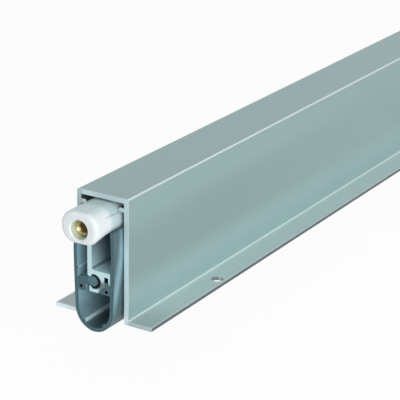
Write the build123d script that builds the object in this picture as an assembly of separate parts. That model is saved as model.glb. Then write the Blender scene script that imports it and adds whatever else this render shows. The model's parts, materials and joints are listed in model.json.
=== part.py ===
from build123d import *
import math
import os

os.makedirs("parts", exist_ok=True)

# Drop-down door bottom seal, in millimetres.
# X runs along the seal with the plunger at the low end, Z is up, and the origin lies at
# mid length on the seating plane, which is the top face of the two flanges.

# Housing extrusion
LENGTH = 833.0
HEIGHT = 33.0
WIDTH = 15.0
WALL = 1.2
CORNER_RADIUS = 0.5
FLANGE_SPAN = 29.0
FLANGE_THICKNESS = 1.0
FLANGE_EDGE_RADIUS = 0.25

# Slot under the ceiling, made by two inward lips
SLOT_HEIGHT = 1.2
LIP_THICKNESS = 1.1
LIP_REACH = 1.65

# Screw holes in the flanges, set out from both ends and from the outer edges
HOLE_RADIUS = 1.6
HOLE_INSET = 35.0
HOLE_EDGE_DISTANCE = 2.5
HOLE_SPANS = 3

# Travel of the seal and length of its levers
DROP = 11.0
LEVER_LENGTH = 34.0
STATION_INSET = 210.0

# Clearances
FIT = 0.05
SIDE_PLAY = 0.15
RUNNING_GAP = 0.2
SEAT_GAP = 0.3

# Push rod, a flat steel bar, and the common axis of rod, plunger and adjuster
AXIS_BELOW_LIPS = 2.7
ROD_THICKNESS = 2.0
ROD_DEPTH = 3.6
ROD_CENTRE_Y = 0.5
ROD_LAP = 10.0
ROD_TAIL = 12.0

# Pivot pins and rivets
HEAD_SIDES = 12
PIN_RADIUS = 1.25
PIN_HEAD_RADIUS = 2.0
PIN_HEAD = 0.5
RIVET_RADIUS = 1.0
RIVET_HEAD_RADIUS = 1.6
RIVET_HEAD = 0.6
ANCHOR_RIVET_RADIUS = 1.5

# Levers and links, pressed from steel strip
STRIP_THICKNESS = 1.2
EYE_RADIUS = 2.6
LINK_EYE_RADIUS = 2.2

# Carrier extrusion, which grips the rubber
CARRIER_OVERHANG = 3.75
WEB_INNER_Y = 0.66
WEB_THICKNESS = 1.26
SHELF_TOP = 13.37
SHELF_THICKNESS = 1.23
SHELF_REACH = 4.7
SHELF_FILLET = 0.8
SOCKET_HEIGHT = 10.4
SOCKET_RADIUS = 1.75
STEM_OUTER_Y = 3.05
STEM_BEVEL = 1.9
JAW_BOTTOM = 7.55
JAW_REACH = 1.35
MOUTH_LOW = 9.3
MOUTH_HIGH = 11.5
LEG_THICKNESS = 0.5
LEG_BOTTOM = 10.1

# Rubber seal
RUBBER_WALL = 1.0
RUBBER_FOOT_HALF_WIDTH = 5.6
RUBBER_WAIST_HALF_WIDTH = 5.75
RUBBER_WING_HALF_WIDTH = 6.05
RUBBER_TIP_HALF_WIDTH = 5.7
RUBBER_BOTTOM = -3.05
RUBBER_BEND_HEIGHT = 3.0
RUBBER_WAIST_HEIGHT = 8.5
RUBBER_WING_HEIGHT = 17.4
RUBBER_TOP = 24.1
RUBBER_PLAY = 0.15
BULB_RADIUS = 1.4
NECK_THICKNESS = 1.9
ARM_TOP = 10.6
ARM_BOTTOM = 7.5
ARM_LOBE_Y = 3.4
ARM_LOBE_RADIUS = 1.15
ARM_LOBE_HEIGHT = 8.35
ARM_VOID_RADIUS = 0.45
HOOK_TOP = 10.9
SMALL_FILLET = 0.35
RIB_RADIUS = 0.5
RIB_HEIGHT = -0.8
LEDGE_HEIGHT = 13.0
LEDGE_DEPTH = 0.3

# Plunger, a rounded bar with a squarer rear block below the lips and a tongue above them
NOSE_REACH = 10.0
NOSE_WIDTH = 10.6
NOSE_HEADROOM = 0.45
NOSE_ROUNDNESS = 0.49
NOSE_DIP = 0.8
BELLY_END = -4.2
NOSE_EDGE = 1.1
NOSE_EDGE_STEPS = 3
REAR_DEPTH = 3.7
REAR_CORNER = 1.3
REAR_START = -4.8
REAR_TAPER_LENGTH = 2.5
REAR_TAPER_DEPTH = 0.5
REAR_END = 13.0
TONGUE_WIDTH = 10.5
TONGUE_START = 5.5
BORE_CHAMFER = 0.35

# Brass adjuster with a hexagon socket
ADJUSTER_RADIUS = 2.4
ADJUSTER_RECESS = 2.2
NECK_RADIUS = 1.6
COLLAR_LENGTH = 2.0
SOCKET_FLATS = 3.0
SOCKET_DEPTH = 6.0
SOCKET_MOUTH_RADIUS = 2.15
SOCKET_LEAD = 0.6

# Rod head, which joins adjuster and rod
HEAD_START = 15.5
HEAD_LENGTH = 16.0
HEAD_WALL = 2.0

# Return spring, held between the rod head and the front guide
SPRING_LENGTH = 21.0
SPRING_WIRE = 0.5
SPRING_INNER_RADIUS = 2.1
GUIDE_LENGTH = 9.0

# Blocks fixed in the housing slot
BLOCK_HALF_WIDTH = 4.3
BLOCK_FLOOR = 0.9
TONGUE_HALF_WIDTH = 6.1
ANCHOR_LENGTH = 16.0
ANCHOR_NOSE = 3.5

# Shoes riveted on the carrier shelf
SHOE_LENGTH = 20.0
SHOE_BASE = 1.0
SHOE_EAR = 1.0
SHOE_BEND = 0.9
SHOE_RIVET_PITCH = 14.0

# Heights and half widths that follow
TOP = HEIGHT - FLANGE_THICKNESS
UNDERSIDE = -FLANGE_THICKNESS
CEILING = TOP - WALL
LIP_TOP = CEILING - SLOT_HEIGHT
LIP_BOTTOM = LIP_TOP - LIP_THICKNESS
CHANNEL_HALF = WIDTH / 2 - WALL
LIP_TIP_Y = CHANNEL_HALF - LIP_REACH
NEAR_END = -LENGTH / 2
FAR_END = LENGTH / 2
HOLE_Y = FLANGE_SPAN / 2 - HOLE_EDGE_DISTANCE
AXIS_HEIGHT = LIP_BOTTOM - AXIS_BELOW_LIPS
BLOCK_BOTTOM = AXIS_HEIGHT - ROD_DEPTH / 2 - RUNNING_GAP - BLOCK_FLOOR
WEB_TOP = BLOCK_BOTTOM - SEAT_GAP
NOSE_TOP = CEILING - NOSE_HEADROOM
NOSE_DEPTH = NOSE_TOP - BLOCK_BOTTOM

# Lever layer, beside the rod, and link layer, beside the lever
LEVER_INNER_Y = ROD_CENTRE_Y - ROD_THICKNESS / 2 - RUNNING_GAP
LEVER_OUTER_Y = LEVER_INNER_Y - STRIP_THICKNESS
LINK_INNER_Y = LEVER_OUTER_Y - SIDE_PLAY
LINK_OUTER_Y = LINK_INNER_Y - STRIP_THICKNESS

# Lever motion: the upper eye moves with the rod and the lower eye straight down
LOWER_PIVOT_HEIGHT = SHELF_TOP + SHOE_BASE + SEAT_GAP + EYE_RADIUS
REST_RISE = AXIS_HEIGHT - LOWER_PIVOT_HEIGHT
REST_ANGLE = math.asin(REST_RISE / LEVER_LENGTH)
DOWN_ANGLE = math.asin((REST_RISE + DROP) / LEVER_LENGTH)
MID_ANGLE = (REST_ANGLE + DOWN_ANGLE) / 2
SWING = DOWN_ANGLE - REST_ANGLE
STROKE = LEVER_LENGTH * (math.cos(REST_ANGLE) - math.cos(DOWN_ANGLE))
UPPER_PIVOT_OFFSET = -LEVER_LENGTH * math.cos(REST_ANGLE)

# Play that the slotted pivots need where the motion is closest to mid stroke
SLOT_PLAY = LEVER_LENGTH * (1 - math.cos(SWING / 2))
LINK_PLAY_ALONG = SLOT_PLAY * math.cos(MID_ANGLE) ** 2
LINK_PLAY_ACROSS = SLOT_PLAY * math.cos(MID_ANGLE) * math.sin(MID_ANGLE)

# Stations of the drop mechanism, each given by the X of its lower pivot
STATIONS = {"front": NEAR_END + STATION_INSET, "rear": FAR_END - STATION_INSET}


def bar(profile, x_start, x_end):
    """Extrude a profile drawn in Y and Z between two X positions."""
    return extrude(Plane.YZ.offset(x_start) * profile, x_end - x_start)


def rectangle(y_low, y_high, z_low, z_high):
    """Rectangle given by its limits in Y and Z."""
    return Pos((y_low + y_high) / 2, (z_low + z_high) / 2) * Rectangle(y_high - y_low, z_high - z_low)


def block(x_limits, y_limits, z_limits):
    """Box given by its limits."""
    return bar(rectangle(*y_limits, *z_limits), *x_limits)


def rod_along_y(x, z, radius, y_low, y_high):
    """Cylinder along Y between two Y positions."""
    return Pos(x, y_high, z) * extrude(Plane.XZ * Circle(radius), y_high - y_low)


def head_along_y(x, z, radius, y_low, y_high):
    """Pin head with many flat sides, along Y between two Y positions."""
    return Pos(x, y_high, z) * extrude(Plane.XZ * RegularPolygon(radius, HEAD_SIDES), y_high - y_low)


def both_sides(shape):
    """A shape and its mirror image across the middle plane of the section."""
    return shape + mirror(shape, Plane.YZ)


def lip():
    """One inward lip with a round tip, drawn in Y and Z."""
    tip_radius = LIP_THICKNESS / 2
    middle = (LIP_TOP + LIP_BOTTOM) / 2
    root = rectangle(LIP_TIP_Y + tip_radius, CHANNEL_HALF + FIT, LIP_BOTTOM, LIP_TOP)
    return root + Pos(LIP_TIP_Y + tip_radius, middle) * Circle(tip_radius)


def housing_profile():
    """Inverted channel with its slot and its two flanges."""
    outer = rectangle(-WIDTH / 2, WIDTH / 2, UNDERSIDE, TOP)
    top_corners = outer.vertices().group_by(Axis.Y)[-1]
    shell = fillet(top_corners, CORNER_RADIUS)
    shell -= rectangle(-CHANNEL_HALF, CHANNEL_HALF, UNDERSIDE, CEILING)
    flange = rectangle(WIDTH / 2 - WALL / 2, FLANGE_SPAN / 2, UNDERSIDE, 0.0)
    edge = flange.vertices().group_by(Axis.X)[-1]
    flange = fillet(edge, FLANGE_EDGE_RADIUS)
    return shell + both_sides(flange) + both_sides(lip())


def hole_positions():
    """X positions of the flange holes, evenly spaced between the two insets."""
    first = NEAR_END + HOLE_INSET
    pitch = (LENGTH - 2 * HOLE_INSET) / HOLE_SPANS
    return [first + pitch * index for index in range(HOLE_SPANS + 1)]


def fixing_positions():
    """X positions of the rivets that hold the anchors."""
    return [x + (ANCHOR_LENGTH - ANCHOR_NOSE) / 2 for x in STATIONS.values()]


def guide_start():
    """Start of the front guide, measured from the near end of the housing."""
    return HEAD_START + HEAD_LENGTH + SPRING_LENGTH


def make_housing():
    """Housing extrusion with screw holes in the flanges and rivet holes in the top."""
    body = bar(housing_profile(), NEAR_END, FAR_END)
    hole = Cylinder(HOLE_RADIUS, 3 * FLANGE_THICKNESS)
    for x in hole_positions():
        for y in (-HOLE_Y, HOLE_Y):
            body -= Pos(x, y, UNDERSIDE / 2) * hole
    rivet_hole = Cylinder(ANCHOR_RIVET_RADIUS + FIT, 3 * WALL)
    for x in fixing_positions():
        body -= Pos(x, 0, TOP - WALL / 2) * rivet_hole
    return body


def slide_block_profile(clearance):
    """Section of a block that hangs in the housing slot by its tongue, with a clearance around it."""
    tongue_bottom = LIP_TOP + clearance
    stem = rectangle(-BLOCK_HALF_WIDTH, BLOCK_HALF_WIDTH, BLOCK_BOTTOM, tongue_bottom)
    tongue = rectangle(-TONGUE_HALF_WIDTH, TONGUE_HALF_WIDTH, tongue_bottom, CEILING - clearance)
    return stem + tongue


def rod_window(clearance):
    """Opening in a block for the flat push rod."""
    half = ROD_THICKNESS / 2 + clearance
    depth = ROD_DEPTH / 2 + clearance
    centre = ROD_CENTRE_Y
    return rectangle(centre - half, centre + half, AXIS_HEIGHT - depth, AXIS_HEIGHT + depth)


def rivet_bottom():
    """Lower end of the rivets that fix the anchors, just above the rod window."""
    return AXIS_HEIGHT + ROD_DEPTH / 2 + RUNNING_GAP + SEAT_GAP


def rivet_bore(x):
    """Blind hole in a block for its fixing rivet."""
    bottom = rivet_bottom() - FIT
    return Pos(x, 0, (bottom + TOP) / 2) * Cylinder(ANCHOR_RIVET_RADIUS + FIT, TOP - bottom)


def make_front_guide():
    """Guide for the front of the push rod and seat of the spring, its tongue pressed into the slot."""
    start = NEAR_END + guide_start()
    return bar(slide_block_profile(0.0) - rod_window(RUNNING_GAP), start, start + GUIDE_LENGTH)


def make_anchor(x):
    """Fixed anchor of one station, with a rod window and a clevis for the link."""
    start = x - ANCHOR_NOSE
    end = start + ANCHOR_LENGTH
    body = bar(slide_block_profile(0.0) - rod_window(RUNNING_GAP), start, end)
    clevis_top = AXIS_HEIGHT + LINK_EYE_RADIUS + SEAT_GAP
    clevis = rectangle(LINK_OUTER_Y - SIDE_PLAY, LINK_INNER_Y + SIDE_PLAY, BLOCK_BOTTOM, clevis_top)
    body -= bar(clevis, start, x + LINK_EYE_RADIUS + SEAT_GAP)
    inner_wall = ROD_CENTRE_Y - ROD_THICKNESS / 2 - RUNNING_GAP
    body -= rod_along_y(x, AXIS_HEIGHT, PIN_RADIUS + FIT, -BLOCK_HALF_WIDTH, inner_wall)
    return body - rivet_bore(x + (ANCHOR_LENGTH - ANCHOR_NOSE) / 2)


def make_anchor_pins():
    """Pins on which the links turn, one in each anchor."""
    inner = LINK_INNER_Y + SIDE_PLAY + RUNNING_GAP
    return [rod_along_y(x, AXIS_HEIGHT, PIN_RADIUS, -BLOCK_HALF_WIDTH, inner) for x in STATIONS.values()]


def make_housing_rivets():
    """Rivets through the top of the housing into the anchors, flush with the top."""
    bottom = rivet_bottom()
    shank = Cylinder(ANCHOR_RIVET_RADIUS, TOP - bottom)
    return [Pos(x, 0, (TOP + bottom) / 2) * shank for x in fixing_positions()]


def stem_bevel(play):
    """Corner missing under the stem on the -Y side, which the rubber fills with some play."""
    reach = STEM_BEVEL - play * math.sqrt(2)
    beside = play + FIT
    corner = (-STEM_OUTER_Y - beside, ARM_BOTTOM)
    side = (-STEM_OUTER_Y - beside, JAW_BOTTOM + reach + beside)
    foot = (-STEM_OUTER_Y + reach + JAW_BOTTOM - ARM_BOTTOM, ARM_BOTTOM)
    return Polygon(corner, foot, side, align=None)


def carrier_profile():
    """Section with a web, a shelf, a socket for the left arm and a groove for the right one."""
    shelf_bottom = SHELF_TOP - SHELF_THICKNESS
    web_outer = WEB_INNER_Y + WEB_THICKNESS
    web = rectangle(WEB_INNER_Y, web_outer, MOUTH_HIGH, WEB_TOP)
    web = fillet(web.vertices().group_by(Axis.Y)[0], WEB_THICKNESS / 2 - FIT)
    shelf = rectangle(-SHELF_REACH, WEB_INNER_Y + FIT, shelf_bottom, SHELF_TOP)
    core = rectangle(-STEM_OUTER_Y, JAW_REACH, JAW_BOTTOM, shelf_bottom + FIT)
    core = fillet(core.vertices().group_by(Axis.Y)[0].sort_by(Axis.X)[-1], SMALL_FILLET)
    core -= stem_bevel(0)
    core -= Pos(0, SOCKET_HEIGHT) * Circle(SOCKET_RADIUS)
    core -= rectangle(0, JAW_REACH + FIT, MOUTH_LOW, shelf_bottom)
    leg = rectangle(-SHELF_REACH, -SHELF_REACH + LEG_THICKNESS, LEG_BOTTOM, shelf_bottom + FIT)
    corner = Polygon(
        (WEB_INNER_Y + FIT, SHELF_TOP - FIT),
        (WEB_INNER_Y + FIT, SHELF_TOP + SHELF_FILLET),
        (WEB_INNER_Y, SHELF_TOP + SHELF_FILLET),
        (WEB_INNER_Y - SHELF_FILLET, SHELF_TOP),
        (WEB_INNER_Y - SHELF_FILLET, SHELF_TOP - FIT),
        align=None,
    )
    corner -= Pos(WEB_INNER_Y - SHELF_FILLET, SHELF_TOP + SHELF_FILLET) * Circle(SHELF_FILLET)
    return web + shelf + core + leg + corner


def shoe_centre_y():
    """Middle of the lever layer."""
    return (LEVER_INNER_Y + LEVER_OUTER_Y) / 2


def shoe_rivet_positions():
    """X positions of the rivets under both shoes."""
    offsets = (-SHOE_RIVET_PITCH / 2, SHOE_RIVET_PITCH / 2)
    return [x + offset for x in STATIONS.values() for offset in offsets]


def make_carrier():
    """Carrier extrusion with the rivet holes of the shoes."""
    body = bar(carrier_profile(), NEAR_END - CARRIER_OVERHANG, FAR_END + CARRIER_OVERHANG)
    hole = Cylinder(RIVET_RADIUS + FIT, 2 * SHELF_THICKNESS)
    for x in shoe_rivet_positions():
        body -= Pos(x, shoe_centre_y(), SHELF_TOP) * hole
    return body


def wall_curve(inset):
    """Half outline of the rubber from the bottom of its bend to the tip of its wing."""
    foot = RUBBER_FOOT_HALF_WIDTH - inset
    depth = RUBBER_BEND_HEIGHT - RUBBER_BOTTOM - inset
    bend = EllipticalCenterArc((0, RUBBER_BEND_HEIGHT), foot, depth, start_angle=-90, arc_size=90)
    side = Spline(
        bend @ 1,
        (RUBBER_WAIST_HALF_WIDTH - inset, RUBBER_WAIST_HEIGHT),
        (RUBBER_WING_HALF_WIDTH - inset, RUBBER_WING_HEIGHT),
        (RUBBER_TIP_HALF_WIDTH - inset, RUBBER_TOP),
        tangents=[(0, 1), (-0.1, 1)],
    )
    return bend, side


def rubber_wall():
    """Half of the U section on the +Y side, with the rib inside its bend."""
    outer_bend, outer_side = wall_curve(0)
    inner_bend, inner_side = wall_curve(RUBBER_WALL)
    tip = Line(outer_side @ 1, inner_side @ 1)
    keel = Line(inner_bend @ 0, outer_bend @ 0)
    outline = Curve() + [outer_bend, outer_side, tip, inner_side, inner_bend, keel]
    wall = make_face(outline)
    fall = (RUBBER_BEND_HEIGHT - RIB_HEIGHT) / (RUBBER_BEND_HEIGHT - RUBBER_BOTTOM - RUBBER_WALL)
    rib_y = (RUBBER_FOOT_HALF_WIDTH - RUBBER_WALL) * math.sqrt(1 - fall**2)
    return wall + Pos(rib_y, RIB_HEIGHT) * Circle(RIB_RADIUS)


def ledge():
    """Small ledge inside the wing, above the arm on the +Y side."""
    inner_face = (RUBBER_WAIST_HALF_WIDTH + RUBBER_WING_HALF_WIDTH) / 2 - RUBBER_WALL
    return Pos(inner_face, LEDGE_HEIGHT) * Circle(LEDGE_DEPTH)


def left_arm():
    """Arm with the bulb that fills the socket of the carrier, on the +Y side."""
    wall_y = RUBBER_WAIST_HALF_WIDTH - RUBBER_WALL / 2
    neck_top = SOCKET_HEIGHT + NECK_THICKNESS / 2
    neck_bottom = SOCKET_HEIGHT - NECK_THICKNESS / 2
    lobe_inner = ARM_LOBE_Y - ARM_LOBE_RADIUS
    arm = Polygon(
        (0, neck_bottom),
        (lobe_inner, neck_bottom),
        (ARM_LOBE_Y, ARM_BOTTOM + ARM_VOID_RADIUS),
        (wall_y, ARM_BOTTOM + ARM_VOID_RADIUS),
        (wall_y, ARM_TOP),
        (lobe_inner, neck_top),
        (0, neck_top),
        align=None,
    )
    arm += Pos(0, SOCKET_HEIGHT) * Circle(BULB_RADIUS)
    arm += Pos(ARM_LOBE_Y, ARM_LOBE_HEIGHT) * Circle(ARM_LOBE_RADIUS)
    void_y = ARM_LOBE_Y + ARM_VOID_RADIUS
    return arm - Pos(void_y, ARM_LOBE_HEIGHT) * Circle(ARM_VOID_RADIUS)


def right_arm():
    """Arm that passes under the leg of the carrier and hooks up into its groove, on the -Y side."""
    wall_y = RUBBER_WAIST_HALF_WIDTH - RUBBER_WALL / 2
    hook_outer = SHELF_REACH - LEG_THICKNESS - RUBBER_PLAY
    hook_inner = STEM_OUTER_Y + RUBBER_PLAY
    hook = rectangle(-hook_outer, -hook_inner, ARM_BOTTOM, HOOK_TOP)
    hook = fillet(hook.vertices(), SMALL_FILLET)
    arm = hook + rectangle(-wall_y, -(hook_inner + hook_outer) / 2, ARM_BOTTOM, LEG_BOTTOM - RUBBER_PLAY)
    arm += stem_bevel(RUBBER_PLAY)
    void_y = -(hook_inner + hook_outer) / 2
    return arm - Pos(void_y, ARM_LOBE_HEIGHT) * Circle(ARM_VOID_RADIUS)


def make_seal():
    """Rubber extrusion of the same length as its carrier."""
    wall = rubber_wall()
    profile = wall + mirror(wall, Plane.YZ) + ledge() + left_arm() + right_arm()
    return bar(profile, NEAR_END - CARRIER_OVERHANG, FAR_END + CARRIER_OVERHANG)


def make_shoe(x):
    """Bracket riveted on the carrier shelf, with the lower pin of one lever between its ears."""
    half = STRIP_THICKNESS / 2 + SIDE_PLAY
    centre = shoe_centre_y()
    outer = half + SHOE_EAR
    base_top = SHELF_TOP + SHOE_BASE
    base = block(
        (x - SHOE_LENGTH / 2, x + SHOE_LENGTH / 2), (centre - outer, centre + outer), (SHELF_TOP, base_top)
    )
    base = chamfer(base.edges().filter_by(Axis.X).group_by(Axis.Z)[0], SHOE_BEND)
    ear_side = Plane.XZ * (
        Pos(x, LOWER_PIVOT_HEIGHT) * Circle(EYE_RADIUS)
        + Pos(x, (SHELF_TOP + LOWER_PIVOT_HEIGHT + SHOE_BEND) / 2)
        * Rectangle(2 * EYE_RADIUS, LOWER_PIVOT_HEIGHT - SHELF_TOP - SHOE_BEND)
    )
    ears = Pos(0, centre + outer, 0) * extrude(ear_side, 2 * outer)
    ears -= block(
        (x - SHOE_LENGTH, x + SHOE_LENGTH), (centre - half, centre + half), (base_top, WEB_TOP)
    )
    shoe = base + ears
    shoe += rod_along_y(x, LOWER_PIVOT_HEIGHT, PIN_RADIUS, centre - half - FIT, centre + half + FIT)
    face = centre - outer
    shoe += head_along_y(x, LOWER_PIVOT_HEIGHT, PIN_HEAD_RADIUS, face - PIN_HEAD, face)
    bottom = SHELF_TOP - SHELF_THICKNESS
    for offset in (-SHOE_RIVET_PITCH / 2, SHOE_RIVET_PITCH / 2):
        place = Pos(x + offset, centre, 0)
        shoe += place * Pos(0, 0, (bottom + base_top) / 2) * Cylinder(RIVET_RADIUS, base_top - bottom)
        head = extrude(RegularPolygon(RIVET_HEAD_RADIUS, HEAD_SIDES), RIVET_HEAD)
        shoe += place * Pos(0, 0, base_top) * head
    return shoe


def strip(length, eye_radius, y_outer, start, angle):
    """Flat strip with round ends from a pivot, turned down by an angle about that pivot."""
    outline = Pos(length / 2, 0) * SlotCenterToCenter(length, 2 * eye_radius)
    plate = extrude(Plane.XZ * outline, STRIP_THICKNESS)
    return Pos(start[0], y_outer + STRIP_THICKNESS, start[1]) * Rot(0, math.degrees(angle), 0) * plate


def slot_cut(centre, play, radius, y_outer, start, angle):
    """Slot in a strip, from a centre towards the pivot at the start."""
    outline = Pos(centre - play / 2, 0) * SlotCenterToCenter(play, 2 * radius)
    cut = extrude(Plane.XZ * outline, STRIP_THICKNESS)
    return Pos(start[0], y_outer + STRIP_THICKNESS, start[1]) * Rot(0, math.degrees(angle), 0) * cut


def lever_middle(x):
    """Position of the middle pivot of a lever in X and Z."""
    half = LEVER_LENGTH / 2
    return x - half * math.cos(REST_ANGLE), AXIS_HEIGHT - half * math.sin(REST_ANGLE)


def make_lever(x):
    """Lever from the push rod down to the shoe, with a slot for the lower pin and a fixed middle pin."""
    start = (x + UPPER_PIVOT_OFFSET, AXIS_HEIGHT)
    body = strip(LEVER_LENGTH, EYE_RADIUS, LEVER_OUTER_Y, start, REST_ANGLE)
    lower = slot_cut(LEVER_LENGTH, SLOT_PLAY + FIT, PIN_RADIUS + FIT, LEVER_OUTER_Y, start, REST_ANGLE)
    body -= lower
    body -= rod_along_y(*start, PIN_RADIUS + FIT, LEVER_OUTER_Y, LEVER_INNER_Y)
    place = lever_middle(x)
    face = LINK_OUTER_Y - SIDE_PLAY
    body += rod_along_y(*place, PIN_RADIUS, face, LEVER_OUTER_Y + FIT)
    return body + head_along_y(*place, PIN_HEAD_RADIUS, face - PIN_HEAD, face)


def make_link(x):
    """Link from the anchor to the middle of the lever, half as long as the lever."""
    start = (x, AXIS_HEIGHT)
    half = LEVER_LENGTH / 2
    angle = math.pi - REST_ANGLE
    body = strip(half, LINK_EYE_RADIUS, LINK_OUTER_Y, start, angle)
    radius = PIN_RADIUS + FIT + LINK_PLAY_ACROSS
    free_end = slot_cut(half, LINK_PLAY_ALONG + FIT, radius, LINK_OUTER_Y, start, angle)
    return body - free_end - rod_along_y(*start, PIN_RADIUS + FIT, LINK_OUTER_Y, LINK_INNER_Y)


def make_push_rod():
    """Flat steel bar from the rod head to a little past the rear anchor."""
    start = NEAR_END + HEAD_START + HEAD_LENGTH - ROD_LAP
    end = STATIONS["rear"] + ANCHOR_LENGTH - ANCHOR_NOSE + ROD_TAIL
    body = bar(rod_window(0), start, end)
    side = (ROD_CENTRE_Y - ROD_THICKNESS / 2, ROD_CENTRE_Y + ROD_THICKNESS / 2)
    for x in STATIONS.values():
        body -= rod_along_y(x + UPPER_PIVOT_OFFSET, AXIS_HEIGHT, PIN_RADIUS + FIT, *side)
    return body - rod_along_y(head_rivet_position(), AXIS_HEIGHT, RIVET_RADIUS + FIT, *side)


def make_rod_pins():
    """Upper pivot pins, riveted flush through the push rod."""
    far_side = ROD_CENTRE_Y + ROD_THICKNESS / 2
    face = LEVER_OUTER_Y - SIDE_PLAY
    pins = []
    for x in STATIONS.values():
        place = (x + UPPER_PIVOT_OFFSET, AXIS_HEIGHT)
        pin = rod_along_y(*place, PIN_RADIUS, face, far_side)
        pin += head_along_y(*place, PIN_HEAD_RADIUS, face - PIN_HEAD, face)
        pins.append(pin)
    return pins


def head_rivet_position():
    """X position of the rivet through rod head and rod."""
    return NEAR_END + HEAD_START + HEAD_LENGTH - ROD_LAP / 2


def make_rod_head():
    """Block in the housing slot that takes the rod behind and the adjuster's collar in front."""
    start = NEAR_END + HEAD_START
    end = start + HEAD_LENGTH
    body = bar(slide_block_profile(FIT), start, end)
    body -= bar(rod_window(FIT), end - ROD_LAP - FIT, end)
    neck_radius = NECK_RADIUS + FIT
    collar_radius = ADJUSTER_RADIUS + FIT
    collar_end = start + HEAD_WALL + COLLAR_LENGTH + 2 * FIT
    for radius, x_start, x_end in (
        (neck_radius, start, start + HEAD_WALL),
        (collar_radius, start + HEAD_WALL, collar_end),
    ):
        keyhole = Pos(0, AXIS_HEIGHT) * Circle(radius)
        keyhole += rectangle(-radius, radius, BLOCK_BOTTOM, AXIS_HEIGHT)
        body -= bar(keyhole, x_start, x_end)
    place = (head_rivet_position(), AXIS_HEIGHT)
    return body - rod_along_y(*place, RIVET_RADIUS + FIT, -BLOCK_HALF_WIDTH, BLOCK_HALF_WIDTH)


def make_head_rivet():
    """Rivet across the rod head, flush with its sides."""
    place = (head_rivet_position(), AXIS_HEIGHT)
    return rod_along_y(*place, RIVET_RADIUS, -BLOCK_HALF_WIDTH, BLOCK_HALF_WIDTH)


def make_adjuster():
    """Brass screw with a hexagon socket in front and a captive collar behind."""
    front = NEAR_END - NOSE_REACH + ADJUSTER_RECESS
    head = NEAR_END + HEAD_START
    collar_start = head + HEAD_WALL + FIT
    centre = Pos(0, AXIS_HEIGHT)
    body = bar(centre * Circle(ADJUSTER_RADIUS), front, head - SEAT_GAP)
    body += bar(centre * Circle(NECK_RADIUS), head - SEAT_GAP, collar_start)
    body += bar(centre * Circle(ADJUSTER_RADIUS), collar_start, collar_start + COLLAR_LENGTH)
    corner_radius = SOCKET_FLATS / math.sqrt(3)
    body -= bar(centre * RegularPolygon(corner_radius, 6), front, front + SOCKET_DEPTH)
    mouth = Plane.YZ.offset(front) * centre * Circle(SOCKET_MOUTH_RADIUS)
    floor = Plane.YZ.offset(front + SOCKET_LEAD) * centre * Circle(SOCKET_FLATS / 2)
    return body - loft([mouth, floor])


def nose_profile(dip, inset):
    """Section of the nose, deeper by a dip below and smaller by an inset all round."""
    depth = NOSE_DEPTH + dip
    size = (NOSE_WIDTH - 2 * inset, depth - 2 * inset)
    return Pos(0, NOSE_TOP - depth / 2) * RectangleRounded(*size, NOSE_ROUNDNESS * NOSE_DEPTH - inset)


def make_belly(start, end):
    """Lower half of the nose, whose bottom rises from the dip to the plain section."""
    middle = NOSE_TOP - NOSE_ROUNDNESS * NOSE_DEPTH
    half = rectangle(-NOSE_WIDTH / 2, NOSE_WIDTH / 2, BLOCK_BOTTOM - NOSE_DIP, middle)
    lower = (Plane.YZ.offset(start) * (nose_profile(NOSE_DIP, 0) & half)).face()
    slope = Vector(end - start, 0, NOSE_DIP)
    return extrude(lower, slope.length, dir=slope) & bar(half, start, end)


def make_nose(face):
    """Front of the plunger: a rounded end edge and a belly that reaches back to the rubber."""
    sections = []
    for step in range(NOSE_EDGE_STEPS + 1):
        angle = math.pi / 2 * step / NOSE_EDGE_STEPS
        inset = NOSE_EDGE * (1 - math.sin(angle))
        plane = Plane.YZ.offset(face + NOSE_EDGE * (1 - math.cos(angle)))
        sections.append(plane * nose_profile(NOSE_DIP, inset))
    start = face + NOSE_EDGE
    end = NEAR_END + BELLY_END
    return loft(sections, ruled=True) + bar(nose_profile(0, 0), start, end) + make_belly(start, end)


def make_rear_block(rear_end):
    """Squarer block below the lips, tapered towards the nose."""
    centre = LIP_BOTTOM - RUNNING_GAP - REAR_DEPTH / 2
    section = Pos(0, centre) * RectangleRounded(NOSE_WIDTH, REAR_DEPTH, REAR_CORNER)
    rear = bar(section, NEAR_END + REAR_START, rear_end)
    front_face = rear.faces().sort_by(Axis.X)[0]
    return chamfer(front_face.edges(), REAR_TAPER_DEPTH, REAR_TAPER_LENGTH, reference=front_face)


def make_plunger():
    """Moulded button: a rounded nose that runs back between the lips of the housing."""
    face = NEAR_END - NOSE_REACH
    rear_end = NEAR_END + REAR_END
    tongue = rectangle(-TONGUE_WIDTH / 2, TONGUE_WIDTH / 2, LIP_TOP + RUNNING_GAP / 2, NOSE_TOP)
    body = make_nose(face) + bar(nose_profile(0, 0), NEAR_END + BELLY_END, rear_end)
    body += make_rear_block(rear_end)
    body += bar(tongue, NEAR_END + TONGUE_START, rear_end)
    groove_inner = LIP_TIP_Y - RUNNING_GAP
    groove = rectangle(groove_inner, WIDTH / 2, LIP_BOTTOM - RUNNING_GAP, LIP_TOP + RUNNING_GAP / 2)
    body -= bar(both_sides(groove), NEAR_END - STROKE - SEAT_GAP, rear_end)
    centre = Pos(0, AXIS_HEIGHT)
    bore = centre * Circle(ADJUSTER_RADIUS + FIT)
    mouth = Plane.YZ.offset(face) * centre * Circle(ADJUSTER_RADIUS + FIT + BORE_CHAMFER)
    throat = Plane.YZ.offset(face + BORE_CHAMFER) * bore
    return body - bar(bore, face, rear_end) - loft([mouth, throat])


def make_return_spring():
    """Compression spring round the rod, as the tube that its turns fill."""
    start = NEAR_END + HEAD_START + HEAD_LENGTH + FIT
    ring = Circle(SPRING_INNER_RADIUS + SPRING_WIRE) - Circle(SPRING_INNER_RADIUS)
    return bar(Pos(ROD_CENTRE_Y, AXIS_HEIGHT) * ring, start, start + SPRING_LENGTH - 2 * FIT)


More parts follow.
